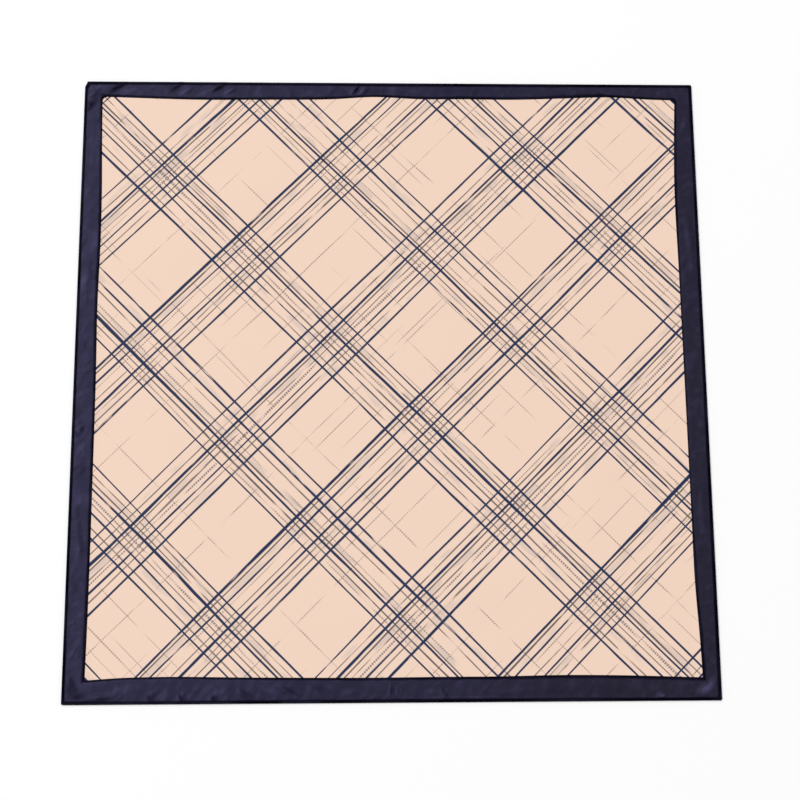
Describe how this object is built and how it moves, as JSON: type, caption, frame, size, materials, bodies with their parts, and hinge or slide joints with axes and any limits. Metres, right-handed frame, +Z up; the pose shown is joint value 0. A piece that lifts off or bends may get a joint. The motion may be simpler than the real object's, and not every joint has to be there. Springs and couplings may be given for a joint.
{
  "type": "square silk scarf laid flat",
  "caption": "Square silk scarf laid open and flat, a printed peach centre in a navy satin border band with mitred corners and a rolled hem.",
  "frame": {"origin": "on the surface that the scarf lies on, under the middle of the square", "axes": "+Z up from the surface, +Y towards the far side of the scarf as pictured, +X to the right"},
  "size_m": [0.9, 0.9, 0.0043],
  "materials": {
    "printed_silk": "matte printed silk twill",
    "navy_satin": "satin"
  },
  "bodies": {
    "root": {"centre_panel": "printed_silk", "border_top": "navy_satin", "border_right": "navy_satin", "border_bottom": "navy_satin", "border_left": "navy_satin"}
  },
  "joints": []
}
